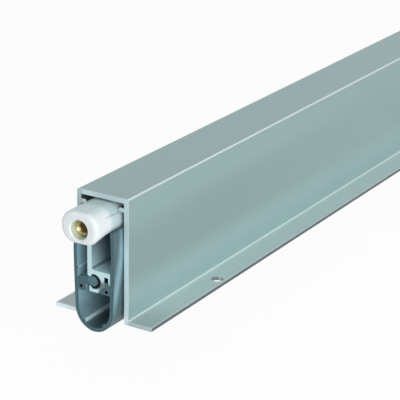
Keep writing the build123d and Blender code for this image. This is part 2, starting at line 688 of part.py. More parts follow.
def save(node, shape):
    """Write one node, either a single solid or a group of separate ones."""
    if isinstance(shape, list):
        shape = Compound(children=[piece.solid() for piece in shape])
    export_step(shape, "parts/" + node + ".step")


save("housing", make_housing())
save("front_guide", make_front_guide())
save("anchor_pins", make_anchor_pins())
save("housing_rivets", make_housing_rivets())
save("carrier", make_carrier())
save("seal", make_seal())
save("push_rod", make_push_rod())
save("rod_pins", make_rod_pins())
save("rod_head", make_rod_head())
save("head_rivet", make_head_rivet())
save("adjuster", make_adjuster())
save("plunger", make_plunger())
save("return_spring", make_return_spring())
for station, lower_pivot_x in STATIONS.items():
    save("anchor_" + station, make_anchor(lower_pivot_x))
    save("shoe_" + station, make_shoe(lower_pivot_x))
    save("lever_" + station, make_lever(lower_pivot_x))
    save("link_" + station, make_link(lower_pivot_x))

print("stroke", round(STROKE, 4), "drop", DROP, "swing deg", round(math.degrees(SWING), 4))
print("upper pivot offset", round(UPPER_PIVOT_OFFSET, 4), "play", round(SLOT_PLAY, 3))
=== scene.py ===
"""Looks of a drop-down door bottom seal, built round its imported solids."""

import json
import logging
import math
from abc import ABC, abstractmethod
from dataclasses import dataclass, field
from enum import Enum
from functools import reduce
from typing import Any, Iterable, Mapping, Sequence, Union

import bmesh
import bpy
from mathutils import Matrix, Vector


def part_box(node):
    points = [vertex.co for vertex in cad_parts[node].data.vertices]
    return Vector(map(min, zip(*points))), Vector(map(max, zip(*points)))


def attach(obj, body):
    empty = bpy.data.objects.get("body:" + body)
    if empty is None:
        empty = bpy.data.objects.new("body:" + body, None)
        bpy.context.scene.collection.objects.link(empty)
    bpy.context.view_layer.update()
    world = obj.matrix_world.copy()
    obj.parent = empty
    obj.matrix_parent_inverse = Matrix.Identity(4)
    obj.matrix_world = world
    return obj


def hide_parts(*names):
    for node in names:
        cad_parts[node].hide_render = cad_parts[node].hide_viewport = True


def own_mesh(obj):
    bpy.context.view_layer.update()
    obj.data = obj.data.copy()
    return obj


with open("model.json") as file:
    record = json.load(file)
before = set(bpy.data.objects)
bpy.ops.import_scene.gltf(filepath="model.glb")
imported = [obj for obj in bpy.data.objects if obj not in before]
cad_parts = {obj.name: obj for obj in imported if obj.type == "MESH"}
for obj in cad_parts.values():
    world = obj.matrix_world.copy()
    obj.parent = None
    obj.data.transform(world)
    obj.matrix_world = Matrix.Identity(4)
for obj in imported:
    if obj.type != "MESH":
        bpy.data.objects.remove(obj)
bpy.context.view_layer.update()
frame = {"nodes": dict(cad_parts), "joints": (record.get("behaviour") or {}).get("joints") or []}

Number = Union["Term", float]
Colour = tuple[float, float, float]  # red, green and blue, linear
Paint = Union[Colour, bpy.types.NodeSocket]  # a colour, constant or linked
Span = tuple[float, float]  # where a mask is 0, and where it is 1
Spot = tuple[float, float, float]  # Y and Z of a line along the length, and a radius, in mm

MM = 0.001
LINE_FEATHER = 0.1  # soft border of a mask round a line, in mm
FACING_END: Span = (0.9, 0.98)  # how squarely a face looks along the length
WHITE: Colour = (1.0, 1.0, 1.0)
log = logging.getLogger("door_seal")


class Body(Enum):
    """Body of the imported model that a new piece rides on."""

    HOUSING = "housing"


class Slot(Enum):
    """Material slot of the record; the new pieces here don't take their finish from it."""

    SPRING = "spring_steel"


class Maths(Enum):
    """Operations of a Math node."""

    ADD = "ADD"
    SUBTRACT = "SUBTRACT"
    MULTIPLY = "MULTIPLY"
    ABSOLUTE = "ABSOLUTE"
    MAXIMUM = "MAXIMUM"
    SINE = "SINE"


class Ray(Enum):
    """Kinds of ray that the floor and the world tell apart."""

    CAMERA = "Is Camera Ray"
    GLOSSY = "Is Glossy Ray"
    TRANSMISSION = "Is Transmission Ray"


class Term:
    """A number socket of a shader that can stand in a Python expression."""

    def __init__(self, shader: "Shader", socket: bpy.types.NodeSocket) -> None:
        """Wrap a socket of the shader's nodes."""
        self.shader = shader
        self.socket = socket

    def __add__(self, other: Number) -> "Term":
        """Sum of both."""
        return self.shader.math(Maths.ADD, self, other)

    def __radd__(self, other: Number) -> "Term":
        """Sum of both."""
        return self.shader.math(Maths.ADD, other, self)

    def __sub__(self, other: Number) -> "Term":
        """This less the other."""
        return self.shader.math(Maths.SUBTRACT, self, other)

    def __rsub__(self, other: Number) -> "Term":
        """The other less this."""
        return self.shader.math(Maths.SUBTRACT, other, self)

    def __mul__(self, other: Number) -> "Term":
        """Product of both."""
        return self.shader.math(Maths.MULTIPLY, self, other)

    def __rmul__(self, other: Number) -> "Term":
        """Product of both."""
        return self.shader.math(Maths.MULTIPLY, other, self)

    def __abs__(self) -> "Term":
        """Size without sign."""
        return self.shader.math(Maths.ABSOLUTE, self)

    def either(self, other: Number) -> "Term":
        """The larger of both."""
        return self.shader.math(Maths.MAXIMUM, self, other)

    def ramp(self, span: Span) -> "Term":
        """Rise smoothly from 0 to 1.

        Args:
            span: values at which the result is 0 and 1; the second may be the lower one.

        Returns:
            The mask.
        """
        settings = {"interpolation_type": "SMOOTHSTEP"}
        sockets = {"Value": self, "From Min": span[0], "From Max": span[1]}
        return self.shader.term("MapRange", settings, sockets)

    def fade(self, span: Span) -> "Term":
        """Rise smoothly from 0 to 1 between two places that are given in millimetres."""
        return self.ramp((span[0] * MM, span[1] * MM))


@dataclass(frozen=True)
class Grain:
    """A soft random pattern, stretched by cycles per metre along X, Y and Z."""

    stretch: tuple[float, float, float]
    detail: float = 3.0
    rough: float = 0.5


class Shader:
    """Nodes of one material or world, written as Python expressions."""

    def __init__(self, owner: Union[bpy.types.Material, bpy.types.World]) -> None:
        """Start with no nodes.

        Args:
            owner: material or world that takes the nodes.
        """
        owner.use_nodes = True
        self.tree = owner.node_tree
        self.tree.nodes.clear()

    def node(
        self, kind: str, settings: Mapping[str, Any], sockets: Mapping[Any, Any]
    ) -> bpy.types.Node:
        """Add a node.

        Args:
            kind: type of the node without its usual first word.
            settings: values that are set first, such as a Math node's operation.
            sockets: constant or link for each input, by name or index.

        Returns:
            The node.
        """
        made = self.tree.nodes.new("ShaderNode" + kind)
        for key, value in settings.items():
            setattr(made, key, value)
        for key, value in sockets.items():
            self.feed(made.inputs[key], value)
        return made

    def feed(self, target: bpy.types.NodeSocket, value: Any) -> None:
        """Link a term or an output to an input, or set its constant.

        Args:
            target: input of a node.
            value: term, output or constant; a colour may leave out its alpha.
        """
        if isinstance(value, Term):
            value = value.socket
        if isinstance(value, bpy.types.NodeSocket):
            self.tree.links.new(value, target)
        elif isinstance(value, tuple) and len(value) == 3 and target.type == "RGBA":
            target.default_value = (*value, 1.0)
        else:
            target.default_value = value

    def term(
        self, kind: str, settings: Mapping[str, Any], sockets: Mapping[Any, Any], out: Any = 0
    ) -> Term:
        """Add a node and wrap one of its outputs."""
        return Term(self, self.node(kind, settings, sockets).outputs[out])

    def math(self, operation: Maths, *values: Number) -> Term:
        """Add a Math node on one or two values."""
        return self.term("Math", {"operation": operation.value}, dict(enumerate(values)))

    def vector(self, operation: str, *values: Any) -> bpy.types.NodeSocket:
        """Add a Vector Math node on one or two vectors."""
        return self.node("VectorMath", {"operation": operation}, dict(enumerate(values))).outputs[0]

    def where(self, source: str = "Object") -> bpy.types.NodeSocket:
        """Object coordinates in metres, or the surface direction."""
        return self.node("TexCoord", {}, {}).outputs[source]

    def axis(self, which: str, source: str = "Object") -> Term:
        """One component of the object coordinates or of the surface direction."""
        return self.term("SeparateXYZ", {}, {0: self.where(source)}, which)

    def noise(self, grain: Grain) -> Term:
        """Soft random pattern from 0 to 1.

        Args:
            grain: its stretch, detail and roughness.

        Returns:
            The pattern.
        """
        sockets = {
            "Vector": self.vector("MULTIPLY", self.where(), grain.stretch),
            "Scale": 1.0,
            "Detail": grain.detail,
            "Roughness": grain.rough,
        }
        return self.term("TexNoise", {}, sockets)

    def mix(self, factor: Number, low: Paint, high: Paint) -> bpy.types.NodeSocket:
        """Blend two colours."""
        return self.node("Mix", {"data_type": "RGBA"}, {0: factor, 6: low, 7: high}).outputs[2]

    def shade(self, colour: Paint, factor: Number) -> bpy.types.NodeSocket:
        """Multiply a colour by a grey level."""
        sockets = {0: colour, "Scale": factor}
        return self.node("VectorMath", {"operation": "SCALE"}, sockets).outputs[0]

    def cut_ends(self) -> Term:
        """Mask of the faces that look along the length."""
        return abs(self.axis("X", "Normal")).ramp(FACING_END)

    def from_line(self, y: float, z: float) -> Term:
        """Distance from a line along the length.

        Args:
            y: the line's Y in metres.
            z: the line's Z in metres.

        Returns:
            The distance in metres.
        """
        moved = self.vector("ADD", self.where(), (0.0, -y, -z))
        across = self.vector("MULTIPLY", moved, (0.0, 1.0, 1.0))
        return self.term("VectorMath", {"operation": "LENGTH"}, {0: across}, "Value")

    def near_line(self, spot: Spot) -> Term:
        """Mask of everything within a radius of a line along the length.

        Args:
            spot: the line's place and the radius.

        Returns:
            The mask.
        """
        y, z, radius = spot
        return self.from_line(y * MM, z * MM).fade((radius + LINE_FEATHER, radius))

    def near_lines(self, spots: Iterable[Spot]) -> Term:
        """Mask of everything within reach of any of several lines along the length."""
        return reduce(Term.either, (self.near_line(spot) for spot in spots))

    def behind_end(self, end: float, reach: Span) -> Term:
        """Mask that grows behind either open end.

        Args:
            end: distance of the open ends from the middle, in millimetres.
            reach: depths behind the end at which the mask is 0 and 1, in millimetres.

        Returns:
            The mask.
        """
        return abs(self.axis("X")).fade((end - reach[0], end - reach[1]))

    def relief(self, height: Number, depth: float) -> bpy.types.NodeSocket:
        """Bump from a height between 0 and 1, as deep as given in metres."""
        sockets = {"Height": height, "Distance": depth, "Strength": 1.0}
        return self.node("Bump", {}, sockets).outputs["Normal"]

    def ray(self, kind: Ray) -> Term:
        """Mask of the rays of one kind."""
        return self.term("LightPath", {}, {}, kind.value)


@dataclass(frozen=True)
class Finish(ABC):
    """A surface finish that makes a material of its own.

    Spans that a finish fades over are in millimetres in the row frame. The others are shares.
    """

    name: str

    @abstractmethod
    def surface(self, s: Shader) -> Mapping[str, Any]:
        """Constants and links of the surface node, by name."""

    def make(self) -> bpy.types.Material:
        """Build the material.

        Returns:
            The finished material.
        """
        material = bpy.data.materials.new(self.name)
        s = Shader(material)
        surface = s.node("BsdfPrincipled", {}, self.surface(s))
        s.node("OutputMaterial", {}, {"Surface": surface.outputs[0]})
        return material


@dataclass(frozen=True)
class Extrusion(Finish):
    """Drawn aluminium: die lines along the length and brighter sawn ends."""

    colour: Colour
    cut_colour: Colour
    roughness: float
    metallic: float = 0.45
    lines: Grain = Grain((4.0, 4000.0, 4000.0), 4.0, 0.6)
    clouds: Grain = Grain((18.0, 65.0, 65.0), 2.0)
    pits: Grain = Grain((2600.0, 5200.0, 5200.0), 2.0, 0.7)
    saw: Grain = Grain((900.0, 900.0, 9000.0), 3.0, 0.65)
    drawn_level: float = 0.9
    line_tone: float = 0.13
    cloud_tone: float = 0.08
    sawn_level: float = 0.86
    saw_tone: float = 0.26
    line_depth: float = 0.004 * MM
    saw_share: float = 2.5
    pit_share: float = 0.5
    pit_rough: float = 0.1
    cloud_rough: float = 0.06
    sawn_rough: float = 0.06

    def tint(self, s: Shader, drawn: Paint, lines: Term) -> Paint:
        """Change the drawn surface by place; a plain section keeps its colour."""
        return drawn

    def trim(self, s: Shader, sawn: Paint) -> Paint:
        """Change the sawn ends by place; a plain section keeps its colour."""
        return sawn

    def surface(self, s: Shader) -> Mapping[str, Any]:
        """Drawn sides and sawn ends.

        Args:
            s: shader that takes the nodes.

        Returns:
            Constants and links of the surface node, by name.
        """
        lines, clouds, pits = s.noise(self.lines), s.noise(self.clouds), s.noise(self.pits)
        saw, cut = s.noise(self.saw), s.cut_ends()
        tone = self.drawn_level + lines * self.line_tone + clouds * self.cloud_tone
        drawn = self.tint(s, s.shade(self.colour, tone), lines)
        sawn = self.trim(s, s.shade(self.cut_colour, self.sawn_level + saw * self.saw_tone))
        height = lines * (1 - cut) + saw * cut * self.saw_share + pits * self.pit_share
        rough = self.roughness + pits * self.pit_rough + (clouds - 0.5) * self.cloud_rough
        return {
            "Base Color": s.mix(cut, drawn, sawn),
            "Metallic": self.metallic,
            "Roughness": rough + cut * self.sawn_rough,
            "Normal": s.relief(height, self.line_depth),
        }


@dataclass(frozen=True)
class HousingFinish(Extrusion):
    """Anodised housing section, with painted highlights on its rolled long edges and painted shade on
    its flange sides.
    """

    highlight_colour: Colour = (0.76, 0.83, 0.83)
    flange_lit_colour: Colour = (0.62, 0.74, 0.73)
    side_shade_colour: Colour = (0.085, 0.115, 0.125)
    # The wall's lower part gets painted light, and a belt at half height gets painted shade, most of
    # all near the ends.
    foot_glow: Span = (12.0, 1.0)
    foot_gain: float = 0.16
    belt_bottom: Span = (6.0, 13.0)
    belt_top: Span = (28.0, 20.0)
    belt_loss: float = 0.05
    end_zone: Span = (260.0, 400.0)
    end_loss: float = 0.1
    # The flange's upper face has a lighter colour of its own as painted light, with painted shade on
    # the +Y side and near the ends.
    flange_root: Span = (7.55, 7.8)
    flange_top: Span = (0.4, 0.1)
    flange_level: float = 0.9
    flange_tone: float = 0.2
    plus_side: Span = (7.0, 8.0)
    plus_side_shade: float = 0.4
    end_shade_zone: Span = (400.0, 415.0)
    end_shade: float = 0.22
    # Painted highlights run along the roof's edges, the foot, the ends and the flange's lip.
    roof_corner: Span = (7.0, 7.25)
    roof_edge: Span = (31.5, 31.83)
    foot_line: Span = (0.45, 0.2)
    foot_reach: Span = (8.0, 7.7)
    end_edge: Span = (416.1, 416.4)
    end_highlight: float = 0.7
    lip: Span = (13.8, 14.0)
    lip_highlight: float = 0.5
    highlight_level: float = 0.65
    highlight_tone: float = 0.3
    # Painted shade darkens the flange's sides, the walls of its holes and the inside of the section.
    rim: Span = (14.34, 14.46)
    upright: Span = (0.5, 0.3)
    hole_zone: Span = (10.0, 10.2)
    hole_shade: float = 0.8
    inner_wall: Span = (6.7, 6.4)
    under_roof: Span = (31.3, 31.0)
    inner_shade: float = 0.62
    # Sawn ends: a painted highlight on the wall at -Y, painted shade on the wall at +Y, and a grey
    # foot.
    bright_wall: Span = (-5.6, -6.0)
    bright_height: Span = (28.0, 17.0)
    bright_gain: float = 0.3
    grey_foot: Span = (0.6, -0.3)
    grey_side: Span = (-6.5, -8.0)
    grey_foot_loss: float = 0.42
    grey_wall: Span = (5.6, 6.2)
    grey_wall_loss: float = 0.25
    grey_wall_foot: float = 2.2

    def edge_highlights(self, beside: Term, along: Term, height: Term) -> Term:
        """Mask of the painted highlights on the rolled edges, the foot, the ends and the lip.

        Args:
            beside: distance from the middle across the section.
            along: distance from the middle along the section.
            height: height above the door's lower edge.

        Returns:
            The mask.
        """
        rolled = beside.fade(self.roof_corner) * height.fade(self.roof_edge)
        foot = height.fade(self.foot_line) * beside.fade(self.foot_reach)
        ends = along.fade(self.end_edge) * self.end_highlight
        return rolled.either(foot).either(ends).either(beside.fade(self.lip) * self.lip_highlight)

    def tint(self, s: Shader, drawn: Paint, lines: Term) -> Paint:
        """Paint light on the lower wall and flange top, highlights on rolled edges, foot, ends and
        lip, and shade on the belt, flange, sides, holes and inside.

        Args:
            s: shader that takes the nodes.
            drawn: colour of the plain drawn surface.
            lines: pattern of the die lines.

        Returns:
            The colour.
        """
        along, across, height = abs(s.axis("X")), s.axis("Y"), s.axis("Z")
        beside = abs(across)
        # Painted light on the lower wall, and painted shade on a belt at half height.
        drawn = s.shade(drawn, 1 + height.fade(self.foot_glow) * self.foot_gain)
        belt = height.fade(self.belt_bottom) * height.fade(self.belt_top)
        drawn = s.shade(drawn, 1 - belt * (self.belt_loss + along.fade(self.end_zone) * self.end_loss))
        # Painted shade on the flange's upper face at +Y and near the ends.
        dull = across.fade(self.plus_side) * self.plus_side_shade
        dull = dull.either(along.fade(self.end_shade_zone) * self.end_shade)
        level = (self.flange_level + lines * self.flange_tone) * (1 - dull)
        # Painted light: the flange top's lighter colour.
        flange = beside.fade(self.flange_root) * height.fade(self.flange_top)
        drawn = s.mix(flange, drawn, s.shade(self.flange_lit_colour, level))
        # Painted highlights along the edges.
        pale = self.edge_highlights(beside, along, height) * (self.highlight_level + lines * self.highlight_tone)
        drawn = s.mix(pale, drawn, self.highlight_colour)
        # Painted shade inside the section, on the flange's sides and in its holes.
        inside = beside.fade(self.inner_wall) * height.fade(self.under_roof)
        drawn = s.shade(drawn, 1 - inside * self.inner_shade)
        upright = abs(s.axis("Z", "Normal")).ramp(self.upright)
        bored = upright * beside.fade(self.hole_zone) * self.hole_shade
        return s.mix(beside.fade(self.rim).either(bored), drawn, self.side_shade_colour)

    def trim(self, s: Shader, sawn: Paint) -> Paint:
        """Paint a highlight on the -Y wall and shade on the other wall, and grey the foot.

        Args:
            s: shader that takes the nodes.
            sawn: colour of the plain sawn end.

        Returns:
            The colour.
        """
        across, height = s.axis("Y"), s.axis("Z")
        # Painted highlight on the -Y wall, painted shade on the +Y wall.
        bright = across.fade(self.bright_wall) * height.fade(self.bright_height)
        foot = height.fade(self.grey_foot)
        grey = foot * across.fade(self.grey_side) * self.grey_foot_loss
        other = across.fade(self.grey_wall) * (1 - foot * self.grey_wall_foot)
        level = (1 + bright * self.bright_gain) * (1 - grey) * (1 - other * self.grey_wall_loss)
        return s.shade(sawn, level)


@dataclass(frozen=True)
class CarrierFinish(Extrusion):
    """Mill finished carrier, dull, with painted shade in its narrow grooves."""

    open_end: float = 420.25
    groove_shade_colour: Colour = (0.012, 0.016, 0.018)
    depth_shade_colour: Colour = (0.020, 0.055, 0.085)
    socket: Spot = (0.0, 10.4, 1.85)
    hook: Spot = (-3.6, 11.3, 0.95)
    corner: Spot = (0.55, 13.7, 0.3)
    corner_dark: float = 0.5
    dull_level: float = 0.82
    shelf_top: Span = (0.8, 0.95)
    shelf_height: Span = (13.9, 13.6)
    shelf_gain: float = 0.3
    depth: Span = (0.0, 11.0)
    depth_dark: float = 0.55
    web: Span = (13.6, 22.0)
    web_dark: float = 0.68
    rim: Spot = (-0.1, 10.35, 1.92)
    rim_side: Span = (0.9, 0.6)
    rim_dark: float = 0.96
    stem_side: Span = (-0.7, -2.0)
    stem_height: Span = (11.6, 9.9)
    stem_dark: float = 0.76

    def tint(self, s: Shader, drawn: Paint, lines: Term) -> Paint:
        """Paint shade in the socket, the hook's groove and the shelf's corner and on the web upwards
        and away from the ends, and light on the shelf top.

        Args:
            s: shader that takes the nodes.
            drawn: colour of the plain drawn surface.
            lines: pattern of the die lines; not used.

        Returns:
            The colour.
        """
        height = s.axis("Z")
        # Painted light on the shelf's top; painted shade in its corner, deeper in from the ends, up
        # the web and in the grooves.
        shelf = s.axis("Z", "Normal").ramp(self.shelf_top) * height.fade(self.shelf_height)
        level = self.dull_level + shelf * self.shelf_gain
        dull = s.shade(drawn, level * (1 - s.near_line(self.corner) * self.corner_dark))
        shade = s.behind_end(self.open_end, self.depth) * self.depth_dark
        upper = height.fade(self.web) * self.web_dark
        dull = s.mix(1 - (1 - shade) * (1 - upper), dull, self.depth_shade_colour)
        return s.mix(s.near_lines((self.socket, self.hook)), dull, self.groove_shade_colour)

    def trim(self, s: Shader, sawn: Paint) -> Paint:
        """Paint shade on the rim of the socket beside the bulb, and on the stem below it.

        Args:
            s: shader that takes the nodes.
            sawn: colour of the plain sawn end.

        Returns:
            The colour.
        """
        # Painted shade on the socket's rim and on the stem.
        rim = s.near_line(self.rim) * s.axis("Y").fade(self.rim_side)
        stem = s.axis("Y").fade(self.stem_side) * s.axis("Z").fade(self.stem_height)
        sawn = s.shade(sawn, 1 - stem * self.stem_dark)
        return s.mix(rim * self.rim_dark, sawn, self.groove_shade_colour)


@dataclass(frozen=True)
class Rubber(Finish):
    """Soft extruded rubber: faint flow lines, a dusty bloom and knife marks on the cut."""

    colour: Colour = (0.185, 0.315, 0.365)
    bloom: Colour = (0.250, 0.390, 0.430)
    cut_colour: Colour = (0.058, 0.118, 0.138)
    void_shade_colour: Colour = (0.008, 0.012, 0.015)
    ledge_highlight_colour: Colour = (0.52, 0.70, 0.74)
    rib_highlight_colour: Colour = (0.88, 0.97, 0.99)
    wing_light_colour: Colour = (0.68, 0.90, 0.94)
    flow: Grain = Grain((6.0, 2400.0, 2400.0), 3.0, 0.6)
    dust: Grain = Grain((420.0, 900.0, 900.0), 5.0, 0.7)
    grit: Grain = Grain((7000.0, 7000.0, 7000.0), 2.0)
    knife: Grain = Grain((600.0, 600.0, 5200.0), 3.0, 0.6)
    relief_depth: float = 0.012 * MM
    grit_share: float = 0.6
    roughness: float = 0.4
    dust_rough: float = 0.16
    cut_rough: float = 0.14
    specular: float = 0.3
    open_end: float = 420.25
    # Dust lies in patches. Faces that look inward get painted light, most of all deep in the bend, and
    # painted shade towards the bottom and at -Y.
    dusty: Span = (0.35, 0.8)
    dust_share: float = 0.55
    base_level: float = 0.3
    flow_tone: float = 0.16
    inward: Span = (-0.5, -3.0)
    inward_gain: float = 0.86
    bend_depth: Span = (0.0, 12.0)
    bend_top: Span = (7.4, 6.8)
    bend_gain: float = 0.45
    bottom: Span = (6.5, 0.5)
    bottom_loss: float = 0.36
    minus_side: Span = (-1.5, -3.5)
    minus_height: Span = (8.0, 6.5)
    minus_loss: float = 0.3
    # A painted highlight band crosses the bare end of the outer wall from its foot to its top.
    sheen_shift: float = 0.6
    sheen_slope: float = 0.205
    sheen_band: Span = (2.1, 0.2)
    sheen_height: Span = (-1.0, 9.0)
    sheen_gain: float = 0.68
    # The inner faces of the +Y arm get painted light behind the cut.
    outward: Span = (0.5, 1.5)
    wing_depth: Span = (1.2, 7.7)
    wing_side: Span = (1.0, 2.0)
    wing_height: Span = (10.6, 11.6)
    # Ribs and ledges get painted highlights, and the narrow voids round the keyed arms get painted
    # shade.
    rib: Spot = (3.03, -0.8, 0.52)
    rib_depth: Span = (0.0, 20.0)
    rib_share: float = 0.95
    ledge: Spot = (4.9, 13.0, 0.32)
    ledge_share: float = 0.6
    voids: tuple[Spot, ...] = (
        (3.85, 8.35, 0.5),
        (-3.62, 8.35, 0.5),
        (0.0, 10.4, 1.5),
        (-3.6, 11.4, 0.9),
    )
    # On the cut, the bulb is lighter than the rest, and the gap beside it gets painted shade.
    cut_level: float = 0.86
    knife_tone: float = 0.28
    bulb: Spot = (0.3, 10.4, 1.3)
    bulb_gain: float = 0.38
    gap: Spot = (0.0, 10.4, 1.5)
    gap_side: Span = (0.5, 0.2)

    def sheen(self, s: Shader, height: Term) -> Term:
        """Painted highlight band on the outer wall.

        Args:
            s: shader that takes the nodes.
            height: height above the door's lower edge.

        Returns:
            The mask.
        """
        middle = (self.open_end + self.sheen_shift) * MM - height * self.sheen_slope
        band = abs(abs(s.axis("X")) - middle).fade(self.sheen_band)
        return band * height.fade(self.sheen_height)

    def wing(self, s: Shader, across: Term, height: Term) -> Term:
        """Part of the +Y arm's inner faces behind the cut end, where light is painted.

        Args:
            s: shader that takes the nodes.
            across: place across the section.
            height: height above the door's lower edge.

        Returns:
            The mask.
        """
        outward = (across * s.axis("Y", "Normal")).fade(self.outward)
        behind = s.behind_end(self.open_end, self.wing_depth)
        return behind * across.fade(self.wing_side) * height.fade(self.wing_height) * (1 - outward)

    def skin(self, s: Shader, flow: Term, dust: Term) -> Paint:
        """Extruded faces, with dust, painted light, painted highlights and painted shade.

        Args:
            s: shader that takes the nodes.
            flow: pattern of the flow lines.
            dust: pattern of the dust.

        Returns:
            The colour.
        """
        across, height = s.axis("Y"), s.axis("Z")
        # Painted light on inward faces and deep in the bend, painted shade at the bottom and at -Y.
        inward = (across * s.axis("Y", "Normal")).fade(self.inward)
        deep = s.behind_end(self.open_end, self.bend_depth) * height.fade(self.bend_top)
        light = inward * (self.inward_gain + deep * self.bend_gain)
        light = light + self.sheen(s, height) * (1 - inward) * self.sheen_gain
        bottom = height.fade(self.bottom) * inward * self.bottom_loss
        minus = across.fade(self.minus_side) * height.fade(self.minus_height) * inward
        level = (self.base_level + flow * self.flow_tone + light) * (1 - bottom)
        skin = s.mix(dust.ramp(self.dusty) * self.dust_share, self.colour, self.bloom)
        skin = s.shade(skin, level * (1 - minus * self.minus_loss))
        # Painted light on the +Y arm's inner faces.
        skin = s.mix(self.wing(s, across, height), skin, self.wing_light_colour)
        # Painted highlights on the rib and the ledge, and painted shade in the voids.
        rib = s.mix(s.behind_end(self.open_end, self.rib_depth), self.ledge_highlight_colour, self.rib_highlight_colour)
        skin = s.mix(s.near_line(self.rib) * self.rib_share, skin, rib)
        skin = s.mix(s.near_line(self.ledge) * self.ledge_share, skin, self.ledge_highlight_colour)
        return s.mix(s.near_lines(self.voids), skin, self.void_shade_colour)

    def sliced(self, s: Shader, knife: Term) -> Paint:
        """Cut ends.

        Args:
            s: shader that takes the nodes.
            knife: pattern of the knife marks.

        Returns:
            The colour.
        """
        bulb = s.near_line(self.bulb)
        # Painted shade in the gap beside the bulb.
        gap = s.near_line(self.gap) * s.axis("Y").fade(self.gap_side) * (1 - bulb)
        level = self.cut_level + knife * self.knife_tone + bulb * self.bulb_gain
        return s.mix(gap, s.shade(self.cut_colour, level), self.void_shade_colour)

    def surface(self, s: Shader) -> Mapping[str, Any]:
        """Extruded faces and cut ends.

        Args:
            s: shader that takes the nodes.

        Returns:
            Constants and links of the surface node, by name.
        """
        flow, dust, knife = s.noise(self.flow), s.noise(self.dust), s.noise(self.knife)
        cut = s.cut_ends()
        height = flow * (1 - cut) + knife * cut + s.noise(self.grit) * self.grit_share
        return {
            "Base Color": s.mix(cut, self.skin(s, flow, dust), self.sliced(s, knife)),
            "Roughness": self.roughness + dust * self.dust_rough + cut * self.cut_rough,
            "Specular IOR Level": self.specular,
            "Normal": s.relief(height, self.relief_depth),
        }


@dataclass(frozen=True)
class Moulded(Finish):
    """Moulded plastic: fine spark texture, slight flow clouds and rubbed high spots."""

    colour: Colour
    shadow: Colour
    roughness: float
    glow: float = 0.0
    glow_radius: tuple[float, float, float] = (1.0, 0.95, 0.9)
    glow_scale: float = 0.8 * MM
    clouds: Grain = Grain((160.0, 240.0, 240.0), 3.0)
    cloudy: Span = (0.35, 0.75)
    cloud_share: float = 0.5
    spark: Grain = Grain((5200.0, 5200.0, 5200.0), 3.0, 0.6)
    spark_rough: float = 0.1
    scuffs: Grain = Grain((380.0, 2600.0, 2600.0), 4.0, 0.7)
    scuffed: Span = (0.58, 0.74)
    scuff_tone: float = 0.03
    scuff_rough: float = 0.12
    scuff_share: float = 0.8
    level: float = 0.985
    relief_depth: float = 0.008 * MM
    specular: float = 0.5

    def tint(self, s: Shader, colour: Paint) -> Paint:
        """Change the surface by place; a plain moulding keeps its colour."""
        return colour

    def surface(self, s: Shader) -> Mapping[str, Any]:
        """Moulded faces.

        Args:
            s: shader that takes the nodes.

        Returns:
            Constants and links of the surface node, by name.
        """
        spark, scuff = s.noise(self.spark), s.noise(self.scuffs).ramp(self.scuffed)
        cloud = s.noise(self.clouds).ramp(self.cloudy) * self.cloud_share
        colour = s.mix(cloud, self.colour, self.shadow)
        return {
            "Base Color": self.tint(s, s.shade(colour, self.level - scuff * self.scuff_tone)),
            "Roughness": self.roughness + spark * self.spark_rough + scuff * self.scuff_rough,
            "Specular IOR Level": self.specular,
            "Subsurface Weight": self.glow,
            "Subsurface Radius": self.glow_radius,
            "Subsurface Scale": self.glow_scale,
            "Normal": s.relief(spark + scuff * self.scuff_share, self.relief_depth),
        }


@dataclass(frozen=True)
class ButtonPlastic(Moulded):
    """Moulded button, with painted shade on top and at the housing's mouth, and painted shade with a
    painted brass reflection in its bore.
    """

    top_shade_colour: Colour = (0.58, 0.75, 0.76)
    top: Span = (0.78, 0.94)
    top_shade_share: float = 0.8
    mouth_shade_colour: Colour = (0.42, 0.56, 0.58)
    mouth_shade_front: Span = (421.2, 419.0)
    mouth_shade_back: Span = (411.0, 415.0)
    mouth_shade_share: float = 0.85
    bore_reflection_colour: Colour = (0.70, 0.76, 0.63)
    bore: Spot = (0.0, 25.8, 2.5)

    def tint(self, s: Shader, colour: Paint) -> Paint:
        """Paint shade on the flat top and at the mouth, and shade with a brass reflection on the wall
        of the bore.

        Args:
            s: shader that takes the nodes.
            colour: colour of the plain moulding.

        Returns:
            The colour.
        """
        # Painted shade on the flat top.
        top = s.axis("Z", "Normal").ramp(self.top) * self.top_shade_share
        colour = s.mix(top, colour, self.top_shade_colour)
        along = abs(s.axis("X"))
        # Painted shade where the button meets the housing's mouth.
        rubbed = along.fade(self.mouth_shade_front) * along.fade(self.mouth_shade_back) * self.mouth_shade_share
        colour = s.mix(rubbed, colour, self.mouth_shade_colour)
        # Painted shade with a painted brass reflection on the wall of the bore.
        return s.mix(s.near_line(self.bore) * (1 - s.cut_ends()), colour, self.bore_reflection_colour)


